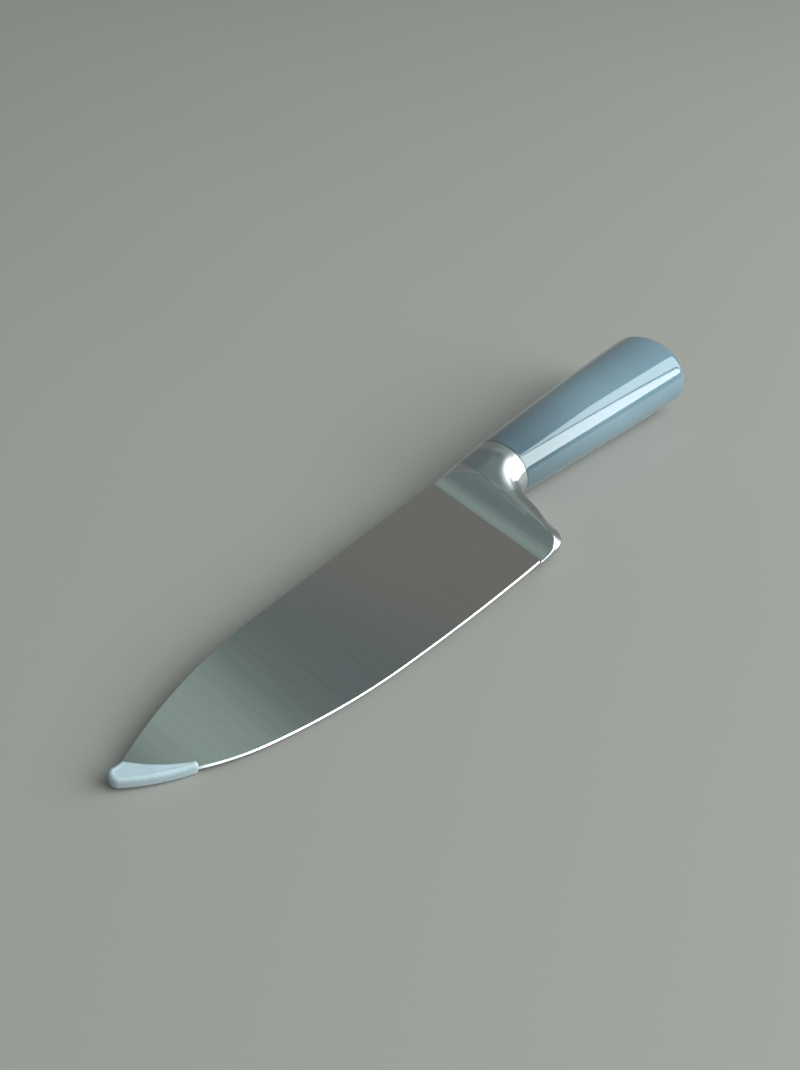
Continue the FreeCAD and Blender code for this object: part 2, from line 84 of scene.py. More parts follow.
# Bolster neck: stations along X, with its centre, height and width there
NECK_STATIONS = [-25.7, -21.5, -16.0, -12.5, 3.0]
NECK_CENTRES = [11.4, 11.4, 11.6, 11.6, 12.0]
NECK_HEIGHTS = [23.8, 23.8, 24.6, 24.8, 24.0]
NECK_WIDTHS = [21.8, 19.8, 14.0, 9.2, 4.6]
# How softly the neck runs into the leg: hardly at all at the spine, so that the spine stays straight
BLEND_STATIONS = [0.0, 7.0]
NECK_BLENDS = [0.9, 4.0]
# Bolster leg: stations along Y, with its half thickness and the rounding of its rim
LEG_STATIONS = [0.0, 2.6, 6.0, 10.0, 15.0, 24.0, 33.0, 38.0, 42.3]
LEG_HALVES = [1.9, 2.7, 3.2, 3.7, 4.1, 4.4, 4.1, 3.8, 3.4]
ROUNDING_STATIONS = [24.0, 38.0, 43.0, 46.0, 48.0]
ROUNDINGS = [2.6, 2.2, 1.2, 0.8, 0.5]
# The slope round the toe, which leaves an upright wall of this half height along Y
FACET_ANGLE = math.radians(28.0)
FACET_STATIONS = [34.0, 42.0]
FACET_WALLS = [3.6, 1.4]
FACET_BLEND = 0.5
# The leg's side swells a little: highest at CROWN_AT inside the rim, and falling away from there
CROWN_AT = 2.2
CROWN_RADIUS = 13.0
CROWN_REACH = 4.5
CROWN_RISE = 0.25
# The leg's outline: the throat under the neck, then the back, the toe's corner and the underside
THROAT = (-19.4, 24.0)
THROAT_RADIUS = 113.0
TOE_CORNER = (-13.8, 42.3)
TOE_CORNER_RADIUS = 7.3
TOE_BOTTOM = (-5.0, 48.8)
# The hollow ground into each side: an arc that starts SCALLOP_LEAD past its lowest point
SCALLOP_RADIUS = 42.0
SCALLOP_LEAD = 6.2
SCALLOP_LIP = 0.12
SCALLOP_SINK = 0.03
FRONT_OVERLAP = 0.8
SEAM_EASE = 0.15
# The block that the bolster is worked out in, and the size of its cells
BOLSTER_LOW = (-25.7, -2.0, -12.0)
BOLSTER_HIGH = (3.0, 50.0, 12.0)
BOLSTER_CELL = 0.26

# Grip: stations along X with the oval's centre, height and width there
GRIP_STATIONS = [-25.7, -76.0, -128.1]
GRIP_CENTRES = [11.4, 14.1, 17.5]
GRIP_HEIGHTS = [23.8, 30.2, 35.0]
GRIP_WIDTHS = [21.8, 25.2, 28.0]
GRIP_MOUNT = (-76.0, 14.1, 0.0)
BUTT = -127.1
DOME_RADIUS = 48.0
DOME_CENTRE = 17.5
BUTT_ROUNDING = 5.0
# Painted shade on the plastic, darkest near the bolster: X, and the share of its full colour there
GRIP_PAINTED_SHADE_END = (-24.0, 0.54)
GRIP_SHADE_FADE_END = (-80.0, 1.0)

# Tip guard: corners of its outline, and the radii of the arcs between them
GUARD_TOP = (148.9, 11.3)
GUARD_BACK = (135.6, 24.7)
GUARD_BACK_LOW = (136.6, 26.6)
GUARD_NOSE_LOW = (153.9, 15.6)
GUARD_NOSE = (153.0, 10.95)
GUARD_MOUTH_RADIUS = 44.0
GUARD_BACK_RADIUS = 1.25
GUARD_EDGE_RADIUS = 64.0
GUARD_NOSE_RADIUS = 2.9
GUARD_WIDTH = 4.4
GUARD_ROUNDING = 1.2
GUARD_RIM = 1.1
GUARD_RIM_FALL = 0.5
GUARD_INSET = 0.14
GUARD_FIT = 0.05
# The block that the guard is worked out in, and the size of its cells
GUARD_LOW = (134.5, 8.5, -2.2)
GUARD_HIGH = (156.5, 28.5, 2.2)
GUARD_CELL = 0.16

# ---------------------------------------------------------------- frame


def knife_matrix():
    """Where the knife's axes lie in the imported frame, from the record's mounts."""
    mounts = {mount["name"]: mount for mount in frame["record"]["mounts"]}
    along = -Vector(mounts["grip"]["axis"]).normalized()
    side_up = Vector(mounts["blade_side_up"]["axis"])
    side_down = Vector(mounts["blade_side_down"]["axis"])
    across = (side_up - side_down).normalized()
    towards_edge = across.cross(along).normalized()
    turn = Matrix((along, towards_edge, across)).transposed()
    origin = Vector(mounts["grip"]["pos_m"]) - turn @ (Vector(GRIP_MOUNT) * MM)
    return Matrix.Translation(origin) @ turn.to_4x4()


KNIFE = knife_matrix()


def add_piece(name, vertices, faces, body, node, materials, face_materials=None):
    """A smooth mesh piece made in knife axes, in millimetres, which stands for a CAD node."""
    turn = np.array(KNIFE.to_3x3())
    placed = np.asarray(vertices) * MM @ turn.T + np.array(KNIFE.translation)
    mesh = bpy.data.meshes.new(name)
    mesh.from_pydata(placed.tolist(), [], [list(face) for face in faces])
    for material in materials:
        mesh.materials.append(material)
    mesh.polygons.foreach_set("use_smooth", [True] * len(mesh.polygons))
    if face_materials is not None:
        mesh.polygons.foreach_set("material_index", list(face_materials))
    mesh.update()
    piece = bpy.data.objects.new(name, mesh)
    bpy.context.scene.collection.objects.link(piece)
    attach(piece, body)
    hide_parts(node)
    return piece


# ---------------------------------------------------------------- curves and fields


def arc_points(start, end, radius, side, count):
    """Points on the minor arc from start to end that bulges left (1) or right (-1) of the way."""
    start = np.array(start, float)
    end = np.array(end, float)
    chord = end - start
    half = np.linalg.norm(chord) / 2
    left = np.array([-chord[1], chord[0]]) / (2 * half)
    centre = (start + end) / 2 - left * side * math.sqrt(radius**2 - half**2)
    first = math.atan2(*(start - centre)[::-1])
    sweep = math.atan2(*(end - centre)[::-1]) - first
    sweep = (sweep + math.pi) % (2 * math.pi) - math.pi
    angles = first + sweep * np.linspace(0, 1, count)
    return centre + radius * np.stack([np.cos(angles), np.sin(angles)], -1)


def join(*runs):
    """Several runs of points as one, without the points that repeat where they meet."""
    points = [runs[0]]
    for run in runs[1:]:
        points.append(run[1:])
    return np.concatenate(points)


def line_points(start, end, count=2):
    share = np.linspace(0, 1, count)[:, None]
    return np.array(start, float) * (1 - share) + np.array(end, float) * share


def resample(points, share):
    """Points at the given shares of a polyline's length."""
    steps = np.linalg.norm(np.diff(points, axis=0), axis=1)
    travelled = np.concatenate([[0], np.cumsum(steps)]) / steps.sum()
    return np.stack([np.interp(share, travelled, points[:, axis]) for axis in (0, 1)], -1)


def edge_curve(count=120):
    """The cutting edge from the heel to the tip."""
    spans = zip(EDGE_CORNERS[:-1], EDGE_CORNERS[1:], EDGE_RADII)
    return join(*[arc_points(start, end, radius, 1, count) for start, end, radius in spans])


def spine_curve(count=120):
    """The spine from the bolster's front line to the tip: straight, then one smooth arc."""
    run = BLADE_LENGTH - SPINE_STRAIGHT
    radius = (run**2 + TIP_DROP**2) / (2 * TIP_DROP)
    straight = line_points((0, 0), (SPINE_STRAIGHT, 0), count)
    fall = arc_points((SPINE_STRAIGHT, 0), (BLADE_LENGTH, TIP_DROP), radius, -1, count)
    return join(straight, fall)


def side_height(x, y):
    """Half the blade's thickness: the flat grind, and the steeper one towards the tip."""
    flat = STOCK / 2 - DISTAL_FALL * x - GRIND_FALL * y
    past = np.maximum(x - TIP_GRIND_START, 0)
    return flat - (TIP_FALL - DISTAL_FALL) * past


def outline_distance(x, y, outline):
    """Distance of points from a closed outline, negative inside it.

    A block of points is worked out once for one layer of it, because Z makes no difference.
    """
    if np.ndim(x) == 3:
        layer = outline_distance(x[:, :, 0], y[:, :, 0], outline)
        return np.repeat(layer[:, :, None], x.shape[2], axis=2)
    shape = np.shape(x)
    points = np.stack([np.ravel(x), np.ravel(y)], -1)
    nearest = np.full(len(points), np.inf)
    inside = np.zeros(len(points), bool)
    for start, end in zip(outline, np.roll(outline, -1, axis=0)):
        run = end - start
        length = run @ run
        if length < 1e-12:
            continue
        offset = points - start
        share = np.clip(offset @ run / length, 0, 1)
        gap = offset - share[:, None] * run
        nearest = np.minimum(nearest, (gap * gap).sum(1))
        crosses = (start[1] > points[:, 1]) != (end[1] > points[:, 1])
        if run[1] != 0:
            at = start[0] + (points[:, 1] - start[1]) * run[0] / run[1]
            inside ^= crosses & (points[:, 0] < at)
    return (np.sqrt(nearest) * np.where(inside, -1, 1)).reshape(shape)


def smooth_min(a, b, width):
    """The union of two fields, blended over a width."""
    share = np.clip(0.5 + 0.5 * (b - a) / width, 0, 1)
    return b * (1 - share) + a * share - width * share * (1 - share)


def smooth_max(a, b, width):
    return -smooth_min(-a, -b, width)


def round_max(a, b, radius):
    """The overlap of two fields, with a round corner between them."""
    first = a + radius
    second = b + radius
    outside = np.hypot(np.maximum(first, 0), np.maximum(second, 0))
    return np.minimum(np.maximum(first, second), 0) + outside - radius


def through(x, stations, values):
    """A smooth curve through a few values, with no overshoot between them (monotone cubic)."""
    stations = np.array(stations, float)
    values = np.array(values, float)
    steps = np.diff(stations)
    slopes = np.diff(values) / steps
    inner = np.where(slopes[:-1] * slopes[1:] > 0, 1, 0) * 2 * slopes[:-1] * slopes[1:]
    total = slopes[:-1] + slopes[1:]
    inner = inner / np.where(np.abs(total) < 1e-9, 1, total)
    tangents = np.concatenate([[slopes[0]], inner, [slopes[-1]]])
    x = np.clip(x, stations[0], stations[-1])
    span = np.clip(np.searchsorted(stations, x, side="right") - 1, 0, len(steps) - 1)
    t = (x - stations[span]) / steps[span]
    start = (1 + 2 * t) * (1 - t) ** 2 * values[span] + t * (1 - t) ** 2 * tangents[span] * steps[span]
    end = t**2 * (3 - 2 * t) * values[span + 1] - t**2 * (1 - t) * tangents[span + 1] * steps[span]
    return start + end


def oval_distance(y, z, centre, tall, wide):
    """Roughly the distance from an oval of the given half sizes, negative inside."""
    scaled = np.hypot((y - centre) / tall, z / wide)
    slope = np.hypot((y - centre) / tall**2, z / wide**2)
    return scaled * (scaled - 1) / np.maximum(slope, 1e-6)


def surface_net(field, low, high, cell):
    """The zero surface of a field as a mesh of quads, with its points moved onto the surface."""
    axes = [np.arange(a - 2 * cell, b + 3 * cell, cell) for a, b in zip(low, high)]
    value = field(*np.meshgrid(*axes, indexing="ij"))
    shape = np.array(value.shape)
    total = np.zeros((*shape, 3))
    count = np.zeros(shape)
    quads = []
    for axis in range(3):
        others = [(axis + 1) % 3, (axis + 2) % 3]
        here = np.moveaxis(value, axis, 0)[:-1]
        there = np.moveaxis(value, axis, 0)[1:]
        crossed = np.argwhere((here < 0) != (there < 0))
        before = here[tuple(crossed.T)]
        after = there[tuple(crossed.T)]
        order = [axis] + [i for i in range(3) if i != axis]
        index = np.empty_like(crossed)
        index[:, order] = crossed
        keep = (index[:, others] > 0).all(1)
        index = index[keep]
        before = before[keep]
        after = after[keep]
        point = index.astype(float)
        point[:, axis] += before / (before - after)
        ring = []
        for first, second in ((0, 0), (1, 0), (1, 1), (0, 1)):
            cell_index = index.copy()
            cell_index[:, others[0]] -= first
            cell_index[:, others[1]] -= second
            np.add.at(total, tuple(cell_index.T), point)
            np.add.at(count, tuple(cell_index.T), 1)
            ring.append(np.ravel_multi_index(tuple(cell_index.T), shape))
        ring = np.stack(ring, -1)
        flip = before > 0
        ring[flip] = ring[flip][:, ::-1]
        quads.append(ring)
    quads = np.concatenate(quads)
    used, quads = np.unique(quads, return_inverse=True)
    quads = quads.reshape(-1, 4)
    where = np.unravel_index(used, shape)
    vertices = total[where] / count[where][:, None]
    start = np.array([axis[0] for axis in axes])
    vertices = vertices * cell + start
    return settle(field, vertices, cell), quads


def settle(field, vertices, cell, rounds=4):
    """Moves points along the field's slope onto its zero surface."""
    step = 0.05 * cell
    for _ in range(rounds):
        value = field(*vertices.T)
        slope = np.stack([
            (field(*(vertices + shift).T) - field(*(vertices - shift).T)) / (2 * step)
            for shift in np.eye(3) * step
        ], -1)
        steepness = np.maximum((slope * slope).sum(1), 0.2)
        move = (value / steepness)[:, None] * slope
        reach = np.linalg.norm(move, axis=1)
        move *= np.minimum(1, 0.5 * cell / np.maximum(reach, 1e-9))[:, None]
        vertices = vertices - move
    return vertices


# ---------------------------------------------------------------- blade


def make_blade(materials):
    """The blade: a grid of quads from spine to edge on each side, with an eased spine and a bevel."""
    share = np.concatenate([np.linspace(0, 0.97, 150), np.linspace(0.973, 1, 12)])
    edge = resample(edge_curve(), share)[:-1]
    spine = resample(spine_curve(), share)[:-1]
    across = edge - spine
    width = np.linalg.norm(across, axis=1)
    forward = np.gradient(edge, axis=0)
    forward /= np.linalg.norm(forward, axis=1)[:, None]
    lean = np.abs(across[:, 0] * forward[:, 1] - across[:, 1] * forward[:, 0]) / width
    at_edge = side_height(*edge.T)
    bevel = (at_edge - EDGE_LAND / 2) / (math.tan(BEVEL_ANGLE) - GRIND_FALL) / lean
    bevel = np.minimum(bevel, 0.45 * width)
    ease = np.minimum(SPINE_EASE, 0.1 * width)
    columns = []
    heights = []
    for turn in np.linspace(0, 1, 5):
        angle = turn * math.pi / 2
        point = spine + across * (ease * (1 - math.cos(angle)) / width)[:, None]
        columns.append(point)
        heights.append(side_height(*point.T) - ease * (1 - math.sin(angle)))
    for step in np.linspace(0, 1, 26)[1:]:
        reach = ease + (width - bevel - ease) * step
        point = spine + across * (reach / width)[:, None]
        columns.append(point)
        heights.append(side_height(*point.T))
    inner = columns[-1]
    inner_height = heights[-1]
    for step in np.linspace(0, 1, 4)[1:]:
        columns.append(inner + (edge - inner) * step)
        heights.append(inner_height + (EDGE_LAND / 2 - inner_height) * step)
    across_count = len(columns)
    station_count = len(edge)
    grid = np.stack([np.column_stack([point, height]) for point, height in zip(columns, heights)], 1)
    vertices = np.concatenate([grid, grid * (1, 1, -1)], 1)
    ring = vertices.shape[1]
    top = list(range(across_count))
    bottom = [across_count + i for i in range(across_count)]
    loop = top + bottom[::-1]
    faces = []
    marks = []
    for station in range(station_count - 1):
        base = station * ring
        for i in range(ring):
            a = loop[i]
            b = loop[(i + 1) % ring]
            faces.append((base + a, base + b, base + ring + b, base + ring + a))
            on_bevel = all(k % across_count >= across_count - 4 for k in (a, b))
            marks.append(1 if on_bevel else 0)
    flat = vertices.reshape(-1, 3)
    tip = len(flat)
    flat = np.vstack([flat, [BLADE_LENGTH, TIP_DROP, 0]])
    last = (station_count - 1) * ring
    for i in range(ring):
        faces.append((last + loop[i], last + loop[(i + 1) % ring], tip))
        marks.append(0)
    for i in range(across_count - 1):
        faces.append((i, across_count + i, across_count + i + 1, i + 1))
        marks.append(0)
    piece = add_piece("blade_steel", flat, faces, "knife", "blade", materials, marks)
    keep_creases(piece, math.radians(8))


def keep_creases(piece, angle):
    """Marks the edges that bend more than the angle as sharp, so that flats stay flat."""
    mesh = piece.data
    mesh.update()
    normals = {}
    for polygon in mesh.polygons:
        for key in polygon.edge_keys:
            normals.setdefault(key, []).append(polygon.normal)
    for edge in mesh.edges:
        sides = normals.get(edge.key, [])
        if len(sides) == 2 and sides[0].angle(sides[1], 0) > angle:
            edge.use_edge_sharp = True


# ---------------------------------------------------------------- bolster


def leg_outline():
    """The bolster seen from the side. It runs on past the front line, where it is trimmed."""
    ahead = 8.0
    return join(
        line_points((ahead, 0), (THROAT[0], 0)),
        line_points((THROAT[0], 0), THROAT),
        arc_points(THROAT, TOE_CORNER, THROAT_RADIUS, -1, 24),
        arc_points(TOE_CORNER, TOE_BOTTOM, TOE_CORNER_RADIUS, 1, 24),
        line_points(TOE_BOTTOM, (FRONT_LEAN + ahead, HEEL_HEIGHT)),
    )


def leg_field(x, y, z):
    """The leg: an outline with crowned sides, which slope down to a low wall round the toe."""
    outline = outline_distance(x, y, leg_outline())
    from_crown = np.clip(-outline - CROWN_AT, -CROWN_AT, CROWN_REACH)
    crown = CROWN_RISE - from_crown**2 / (2 * CROWN_RADIUS)
    side = np.abs(z) - through(y, LEG_STATIONS, LEG_HALVES) - crown
    wall = through(y, FACET_STATIONS, FACET_WALLS)
    facet = (np.abs(z) - wall) * math.cos(FACET_ANGLE) + outline * math.sin(FACET_ANGLE)
    side = smooth_max(side, facet, FACET_BLEND)
    return round_max(outline, side, through(y, ROUNDING_STATIONS, ROUNDINGS))


def bolster_field(x, y, z):
    """The bolster's body: neck and leg blended, the hollows ground in, trimmed at both ends."""
    tall = through(x, NECK_STATIONS, NECK_HEIGHTS) / 2
    wide = through(x, NECK_STATIONS, NECK_WIDTHS) / 2
    centre = through(x, NECK_STATIONS, NECK_CENTRES)
    neck = oval_distance(y, z, centre, tall, wide)
    body = smooth_min(neck, leg_field(x, y, z), through(y, BLEND_STATIONS, NECK_BLENDS))
    slope = FRONT_LEAN / HEEL_HEIGHT
    ahead = (x - slope * y) * math.cos(math.atan(slope))
    behind = np.maximum(-ahead, 0) + SCALLOP_LEAD
    run = np.sqrt(np.maximum(SCALLOP_RADIUS**2 - behind**2, 1.0))
    rise = math.sqrt(SCALLOP_RADIUS**2 - SCALLOP_LEAD**2) - run
    surface = STOCK / 2 - GRIND_FALL * y + rise - SCALLOP_SINK * np.maximum(ahead, 0)
    hollow = (np.abs(z) - surface) / np.hypot(1, behind / run)
    body = smooth_max(body, hollow, SCALLOP_LIP)
    body = np.maximum(body, ahead - FRONT_OVERLAP)
    return smooth_max(body, NECK_STATIONS[0] - x, SEAM_EASE * 2)


def make_bolster(material):
    cell = BOLSTER_CELL
    vertices, faces = surface_net(bolster_field, BOLSTER_LOW, BOLSTER_HIGH, cell)
    add_piece("bolster_casting", vertices, faces, "knife", "bolster", [material])


# ---------------------------------------------------------------- handle


def grip_size(x, values):
    """The grip's size at X: a parabola through the values at its three stations."""
    return np.polyval(np.polyfit(GRIP_STATIONS, values, 2), x)


def grip_ring(x, angles):
    """Points round the grip at X, as offsets from its own centre line, and that centre."""
    centre = grip_size(x, GRIP_CENTRES)
    tall = grip_size(x, GRIP_HEIGHTS) / 2
    wide = grip_size(x, GRIP_WIDTHS) / 2
    return centre, tall * np.cos(angles), wide * np.sin(angles)


def make_handle(material):
    """The handle's shell: oval rings, then a soft corner that runs into the domed butt."""
    around = 192
    angles = np.linspace(0, 2 * math.pi, around, endpoint=False)
    rings = []
    front = GRIP_STATIONS[0]
    for turn in np.linspace(0, math.pi / 2, 4):
        inset = SEAM_EASE * (1 - math.sin(turn))
        x = front - SEAM_EASE * (1 - math.cos(turn))
        centre, down, across = grip_ring(x, angles)
        shrink = 1 - inset / np.hypot(down, across)
        rings.append(np.column_stack([np.full(around, x), centre + down * shrink, across * shrink]))
    side_end = BUTT + BUTT_ROUNDING + 4.0
    for x in np.linspace(front - SEAM_EASE, side_end, 120)[1:]:
        centre, down, across = grip_ring(x, angles)
        rings.append(np.column_stack([np.full(around, x), centre + down, across]))
    rings += butt_rings(angles, side_end)
    vertices = np.concatenate(rings)
    faces = []
    for ring in range(len(rings) - 1):
        for i in range(around):
            j = (i + 1) % around
            here = ring * around
            beyond = here + around
            faces.append((here + i, here + j, beyond + j, beyond + i))
    pole = len(vertices)
    vertices = np.vstack([vertices, [BUTT, DOME_CENTRE, 0]])
    last = (len(rings) - 1) * around
    for i in range(around):
        faces.append((last + i, last + (i + 1) % around, pole))
    rim_centre = len(vertices)
    vertices = np.vstack([vertices, [front, GRIP_CENTRES[0], 0]])
    for i in range(around):
        faces.append((rim_centre, (i + 1) % around, i))
    piece = add_piece("handle_grip", vertices, faces, "knife", "handle_shell", [material])
    keep_creases(piece, math.radians(40))


def butt_rings(angles, side_end):
    """Rings from the last straight one round the corner and up the dome.

    Each angle is worked out in its own plane through the dome's axis.
    """
    centre, down, across = grip_ring(side_end, angles)
    ahead_centre, ahead_down, ahead_across = grip_ring(side_end - 1.0, angles)
    start = np.stack([centre + down - DOME_CENTRE, across], -1)
    ahead = np.stack([ahead_centre + ahead_down - DOME_CENTRE, ahead_across], -1)
    reach = np.linalg.norm(start, axis=1)
    outward = start / reach[:, None]
    grow = np.linalg.norm(ahead, axis=1) - reach
    # In each plane: the side is a line that widens by grow per millimetre, and the dome is a circle
    # about dome_x. The corner's centre lies BUTT_ROUNDING inside both.
    dome_x = BUTT + DOME_RADIUS
    lean = np.hypot(1, grow)
    inner = DOME_RADIUS - BUTT_ROUNDING
    offset = reach - BUTT_ROUNDING * lean
    # offset + grow * s is the corner centre's distance from the axis at X = side_end - s
    gap = side_end - dome_x
    a = 1 + grow**2
    b = 2 * (offset * grow - gap)
    c = offset**2 + gap**2 - inner**2
    s = (-b + np.sqrt(b**2 - 4 * a * c)) / (2 * a)
    corner_x = side_end - s
    corner_r = offset + grow * s
    side_angle = np.arctan2(np.ones_like(grow), grow)
    dome_angle = np.arctan2(corner_r, corner_x - dome_x)
    rings = []
    for share in np.linspace(0, 1, 17):
        angle = side_angle + (dome_angle - side_angle) * share
        x = corner_x + BUTT_ROUNDING * np.cos(angle)
        r = corner_r + BUTT_ROUNDING * np.sin(angle)
        rings.append(np.column_stack([x, DOME_CENTRE + outward[:, 0] * r, outward[:, 1] * r]))
    for share in np.linspace(0, 1, 26)[1:-1]:
        angle = dome_angle + (math.pi - dome_angle) * share
        x = dome_x + DOME_RADIUS * np.cos(angle)
        r = DOME_RADIUS * np.sin(angle)
        rings.append(np.column_stack([x, DOME_CENTRE + outward[:, 0] * r, outward[:, 1] * r]))
    return rings


# ---------------------------------------------------------------- tip guard


def guard_outline():
    return join(
        arc_points(GUARD_TOP, GUARD_BACK, GUARD_MOUTH_RADIUS, -1, 40),
        arc_points(GUARD_BACK, GUARD_BACK_LOW, GUARD_BACK_RADIUS, 1, 12),
        arc_points(GUARD_BACK_LOW, GUARD_NOSE_LOW, GUARD_EDGE_RADIUS, 1, 40),
        arc_points(GUARD_NOSE_LOW, GUARD_NOSE, GUARD_NOSE_RADIUS, 1, 12),
        line_points(GUARD_NOSE, GUARD_TOP),
    )[:-1]


def guard_field(x, y, z):
    """The guard: a pillow with a soft raised rim round its flat faces, and a slot for the blade."""
    inside = -outline_distance(x, y, guard_outline())
    lean = np.clip(1 - inside / GUARD_ROUNDING, 0, 1)
    half = GUARD_WIDTH / 2 - GUARD_ROUNDING * (1 - np.sqrt(np.maximum(1 - lean**2, 0)))
    fall = np.clip((inside - GUARD_RIM) / GUARD_RIM_FALL, 0, 1)
    half = half - GUARD_INSET * fall**2 * (3 - 2 * fall)
    body = smooth_max(np.abs(z) - half, -inside, 0.3)
    blade = np.concatenate([spine_curve(40), edge_curve(40)[::-1]])
    room = outline_distance(x, y, blade) - GUARD_FIT
    slot = np.maximum(np.abs(z) - side_height(x, y) - GUARD_FIT, room)
    return smooth_max(body, -slot, 0.25)


def make_guard(material):
    cell = GUARD_CELL
    vertices, faces = surface_net(guard_field, GUARD_LOW, GUARD_HIGH, cell)
    add_piece("guard_sleeve", vertices, faces, "guard", "tip_guard", [material])


# ---------------------------------------------------------------- materials

# The part of a noise texture's range that most of its values fall in
NOISE_SPAN = (0.3, 0.7)


def new_material(name):
    """A node material: its tree, its Principled shader and its coordinates in knife axes, in metres."""
    material = bpy.data.materials.new(name)
    material.use_nodes = True
    tree = material.node_tree
    shader = tree.nodes["Principled BSDF"]
    coordinates = tree.nodes.new("ShaderNodeTexCoord")
    axes = tree.nodes.new("ShaderNodeMapping")
    axes.vector_type = "TEXTURE"
    axes.inputs["Location"].default_value = KNIFE.translation
    axes.inputs["Rotation"].default_value = KNIFE.to_euler()
    tree.links.new(coordinates.outputs["Object"], axes.inputs["Vector"])
    return material, tree, shader, axes.outputs["Vector"]


def noise(tree, coordinates, stretch, scale, detail=2.0):
    """A noise value: stretch says how fine it is along X, Y and Z."""
    mapping = tree.nodes.new("ShaderNodeMapping")
    mapping.inputs["Scale"].default_value = stretch
    texture = tree.nodes.new("ShaderNodeTexNoise")
    texture.inputs["Scale"].default_value = scale
    texture.inputs["Detail"].default_value = detail
    texture.inputs["Roughness"].default_value = 0.5
    tree.links.new(coordinates, mapping.inputs["Vector"])
    tree.links.new(mapping.outputs["Vector"], texture.inputs["Vector"])
    return texture.outputs["Fac"]


def ramp(tree, value, low, high):
    """Turns a noise value into a number between low and high."""
    node = tree.nodes.new("ShaderNodeMapRange")
    node.inputs["From Min"].default_value = NOISE_SPAN[0]
    node.inputs["From Max"].default_value = NOISE_SPAN[1]
    node.inputs["To Min"].default_value = low
    node.inputs["To Max"].default_value = high
    tree.links.new(value, node.inputs["Value"])
    return node.outputs["Result"]


def tint(tree, value, low, high):
    """A colour between two, chosen by a noise value."""
    node = tree.nodes.new("ShaderNodeValToRGB")
    node.color_ramp.elements[0].position = NOISE_SPAN[0]
    node.color_ramp.elements[1].position = NOISE_SPAN[1]
    node.color_ramp.elements[0].color = (*low, 1)
    node.color_ramp.elements[1].color = (*high, 1)
    tree.links.new(value, node.inputs["Fac"])
    return node.outputs["Color"]


def add_bump(tree, shader, values, distance, strength):
    """Bump from the sum of several values."""
    height = values[0]
    for value in values[1:]:
        total = tree.nodes.new("ShaderNodeMath")
        tree.links.new(height, total.inputs[0])
        tree.links.new(value, total.inputs[1])
        height = total.outputs["Value"]
    bump = tree.nodes.new("ShaderNodeBump")
    bump.inputs["Distance"].default_value = distance
    bump.inputs["Strength"].default_value = strength
    tree.links.new(height, bump.inputs["Height"])
    tree.links.new(bump.outputs["Normal"], shader.inputs["Normal"])


def steel(name, dark, light, smoothest, roughest, grain, bump_strength):
    """Ground steel. grain is the stretch of its marks along X, Y and Z."""
    material, tree, shader, coordinates = new_material(name)
    shader.inputs["Metallic"].default_value = 1.0
    fine = noise(tree, coordinates, grain, 1.0, detail=3.0)
    broad = noise(tree, coordinates, [size * 0.2 for size in grain], 1.0, detail=4.0)
    cloud = noise(tree, coordinates, (1, 1, 1), 30.0)
    tree.links.new(tint(tree, broad, dark, light), shader.inputs["Base Color"])
    tree.links.new(ramp(tree, fine, smoothest, roughest), shader.inputs["Roughness"])
    add_bump(tree, shader, [fine, broad, cloud], 0.00002, bump_strength)
    return material


def blade_steel():
    return steel("blade_satin", (0.585, 0.585, 0.57), (0.615, 0.615, 0.60), 0.13, 0.17, (3000, 45, 45), 0.05)


def bevel_steel():
    return steel("blade_bevel", (0.50, 0.51, 0.51), (0.56, 0.57, 0.57), 0.18, 0.22, (500, 500, 500), 0.0)


def bolster_steel():
    return steel("bolster_satin", (0.60, 0.62, 0.62), (0.63, 0.65, 0.65), 0.23, 0.27, (1500, 260, 1500), 0.03)


def tang_steel():
    return steel("tang_rolled", (0.40, 0.40, 0.39), (0.48, 0.48, 0.47), 0.38, 0.5, (90, 1200, 1200), 0.3)


def painted_shade_along_x(tree, coordinates, colour, start, end):
    """A colour scaled along X, which paints shade onto it: start and end each give an X in millimetres and a
    share.
    """
    parts = tree.nodes.new("ShaderNodeSeparateXYZ")
    tree.links.new(coordinates, parts.inputs["Vector"])
    share = tree.nodes.new("ShaderNodeMapRange")
    share.interpolation_type = "SMOOTHSTEP"
    tree.links.new(parts.outputs["X"], share.inputs["Value"])
    share.inputs["From Min"].default_value = start[0] * MM
    share.inputs["From Max"].default_value = end[0] * MM
    share.inputs["To Min"].default_value = start[1]
    share.inputs["To Max"].default_value = end[1]
    scaled = tree.nodes.new("ShaderNodeVectorMath")
    scaled.operation = "SCALE"
    tree.links.new(colour, scaled.inputs["Vector"])
    tree.links.new(share.outputs["Result"], scaled.inputs["Scale"])
    return scaled.outputs["Vector"]


def grip_plastic():
    """Glossy pale blue-grey plastic with a faint mottle and hairline marks, and painted shade that darkens it
    towards the bolster.
    """
    material, tree, shader, coordinates = new_material("grip_gloss")
    cloud = noise(tree, coordinates, (1, 1, 1), 60.0, detail=3.0)
    hair = noise(tree, coordinates, (150, 900, 900), 1.0, detail=3.0)
    colour = tint(tree, cloud, (0.185, 0.29, 0.345), (0.205, 0.31, 0.365))
    # Painted shade: the colour is darkened towards the bolster
    colour = painted_shade_along_x(tree, coordinates, colour, GRIP_PAINTED_SHADE_END, GRIP_SHADE_FADE_END)
    tree.links.new(colour, shader.inputs["Base Color"])
    tree.links.new(ramp(tree, hair, 0.04, 0.07), shader.inputs["Roughness"])
    shader.inputs["Specular IOR Level"].default_value = 0.5
    shader.inputs["Coat Weight"].default_value = 0.9
    shader.inputs["Coat Roughness"].default_value = 0.04
    add_bump(tree, shader, [cloud, hair], 0.00002, 0.06)
    return material


def core_plastic():
    material, tree, shader, coordinates = new_material("core_moulded")
    grain = noise(tree, coordinates, (1, 1, 1), 900.0, detail=3.0)
    tree.links.new(tint(tree, grain, (0.36, 0.40, 0.44), (0.42, 0.46, 0.50)), shader.inputs["Base Color"])
    tree.links.new(ramp(tree, grain, 0.5, 0.7), shader.inputs["Roughness"])
    add_bump(tree, shader, [grain], 0.0001, 0.2)
    return material


